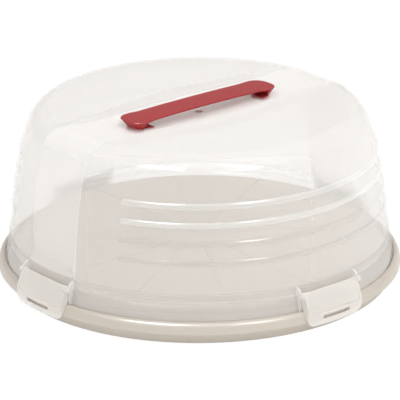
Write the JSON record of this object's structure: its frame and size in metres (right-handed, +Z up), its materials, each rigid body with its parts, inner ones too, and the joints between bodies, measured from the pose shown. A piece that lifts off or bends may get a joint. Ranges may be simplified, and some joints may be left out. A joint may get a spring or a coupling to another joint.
{
  "type": "cake carrier",
  "caption": "Round cake carrier: low serving tray, clear domed hood with hand trough and strap handle, and hinged clips that reach over the tray rim.",
  "frame": {"origin": "on the surface the carrier stands on, at the centre of the tray", "axes": "+Z up, +X along the strap handle, +Y across it; one clip faces each of -X, +X, -Y and +Y"},
  "size_m": [0.3506, 0.3506, 0.153],
  "materials": {
    "tray_plastic": "satin warm beige polypropylene",
    "hood_plastic": "clear, slightly hazy polypropylene",
    "handle_plastic": "satin red polypropylene",
    "clip_plastic": "translucent white polypropylene"
  },
  "bodies": {
    "tray": {"serving_tray": "tray_plastic"},
    "hood": {"hood": "hood_plastic", "strap_handle": "handle_plastic"},
    "clip_left": {"clip_left": "clip_plastic"},
    "clip_right": {"clip_right": "clip_plastic"},
    "clip_front": {"clip_front": "clip_plastic"},
    "clip_back": {"clip_back": "clip_plastic"}
  },
  "joints": [
    {"name": "hood_lift", "type": "slide", "parent": "tray", "child": "hood", "axis": [0, 0, 1], "range_m": [0, 0.16]},
    {"name": "clip_left_hinge", "type": "hinge", "parent": "hood", "child": "clip_left", "pos_m": [-0.1658, 0, 0.033], "axis": [0, 1, 0], "range_deg": [0, 110]},
    {"name": "clip_right_hinge", "type": "hinge", "parent": "hood", "child": "clip_right", "pos_m": [0.1658, 0, 0.033], "axis": [0, -1, 0], "range_deg": [0, 110]},
    {"name": "clip_front_hinge", "type": "hinge", "parent": "hood", "child": "clip_front", "pos_m": [0, -0.1658, 0.033], "axis": [-1, 0, 0], "range_deg": [0, 110]},
    {"name": "clip_back_hinge", "type": "hinge", "parent": "hood", "child": "clip_back", "pos_m": [0, 0.1658, 0.033], "axis": [1, 0, 0], "range_deg": [0, 110]}
  ]
}
